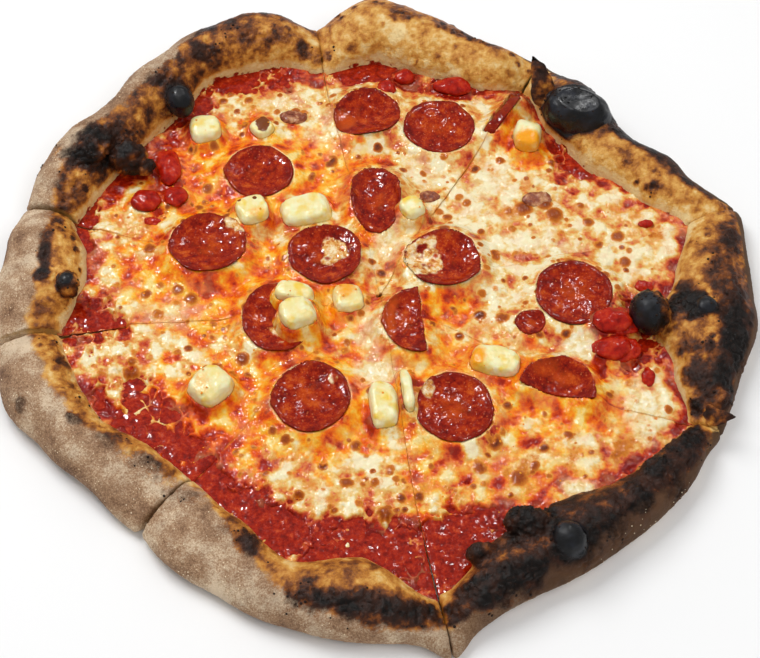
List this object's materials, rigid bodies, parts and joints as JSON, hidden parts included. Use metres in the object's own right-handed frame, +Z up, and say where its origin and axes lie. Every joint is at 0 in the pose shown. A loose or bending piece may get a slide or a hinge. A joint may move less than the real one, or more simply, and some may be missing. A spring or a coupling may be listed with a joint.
{
  "type": "pepperoni pizza",
  "caption": "Round pizza with a puffed, scorched rim, cut into slices that still lie together, with sauce, melted cheese, pepperoni, soft cheese cubes and tomato pieces on top.",
  "frame": {"origin": "centre of the bounding box, on the flat underside that rests on the table", "axes": "+Z up out of the toppings, +X and +Y in the plane of the table"},
  "size_m": [0.3384, 0.3489, 0.028],
  "materials": {
    "baked_crust": "matte, floury and scorched bread crust",
    "tomato_sauce": "wet, pulpy red sauce",
    "melted_cheese": "oily, blistered melted cheese",
    "pepperoni": "greasy, grained cured sausage",
    "soft_cheese": "soft, moist fresh cheese",
    "tomato": "wet, glossy cooked tomato"
  },
  "bodies": {
    "root": {"slice_1_crust": "baked_crust", "slice_1_sauce": "tomato_sauce", "slice_1_cheese": "melted_cheese", "slice_2_crust": "baked_crust", "slice_2_sauce": "tomato_sauce", "slice_2_cheese": "melted_cheese", "slice_3_crust": "baked_crust", "slice_3_sauce": "tomato_sauce", "slice_3_cheese": "melted_cheese", "slice_4_crust": "baked_crust", "slice_4_sauce": "tomato_sauce", "slice_4_cheese": "melted_cheese", "slice_5_crust": "baked_crust", "slice_5_sauce": "tomato_sauce", "slice_5_cheese": "melted_cheese", "slice_6_crust": "baked_crust", "slice_6_sauce": "tomato_sauce", "slice_6_cheese": "melted_cheese", "slice_7_crust": "baked_crust", "slice_7_sauce": "tomato_sauce", "slice_7_cheese": "melted_cheese", "slice_8_crust": "baked_crust", "slice_8_sauce": "tomato_sauce", "slice_8_cheese": "melted_cheese", "pepperoni_01": "pepperoni", "pepperoni_02": "pepperoni", "pepperoni_03": "pepperoni", "pepperoni_04": "pepperoni", "pepperoni_05": "pepperoni", "pepperoni_06": "pepperoni", "pepperoni_07": "pepperoni", "pepperoni_08": "pepperoni", "pepperoni_09": "pepperoni", "pepperoni_10": "pepperoni", "pepperoni_11": "pepperoni", "pepperoni_12": "pepperoni", "pepperoni_13": "pepperoni", "pepperoni_14": "pepperoni", "pepperoni_15": "pepperoni", "cheese_cube_01": "soft_cheese", "cheese_cube_02": "soft_cheese", "cheese_cube_03": "soft_cheese", "cheese_cube_04": "soft_cheese", "cheese_cube_05": "soft_cheese", "cheese_cube_06": "soft_cheese", "cheese_cube_07": "soft_cheese", "cheese_cube_08": "soft_cheese", "cheese_cube_09": "soft_cheese", "cheese_cube_10": "soft_cheese", "cheese_cube_11": "soft_cheese", "cheese_cube_12": "soft_cheese", "cheese_cube_13": "soft_cheese", "tomato_01": "tomato", "tomato_02": "tomato", "tomato_03": "tomato", "tomato_04": "tomato", "tomato_05": "tomato", "tomato_06": "tomato", "tomato_07": "tomato", "tomato_08": "tomato"}
  },
  "joints": []
}
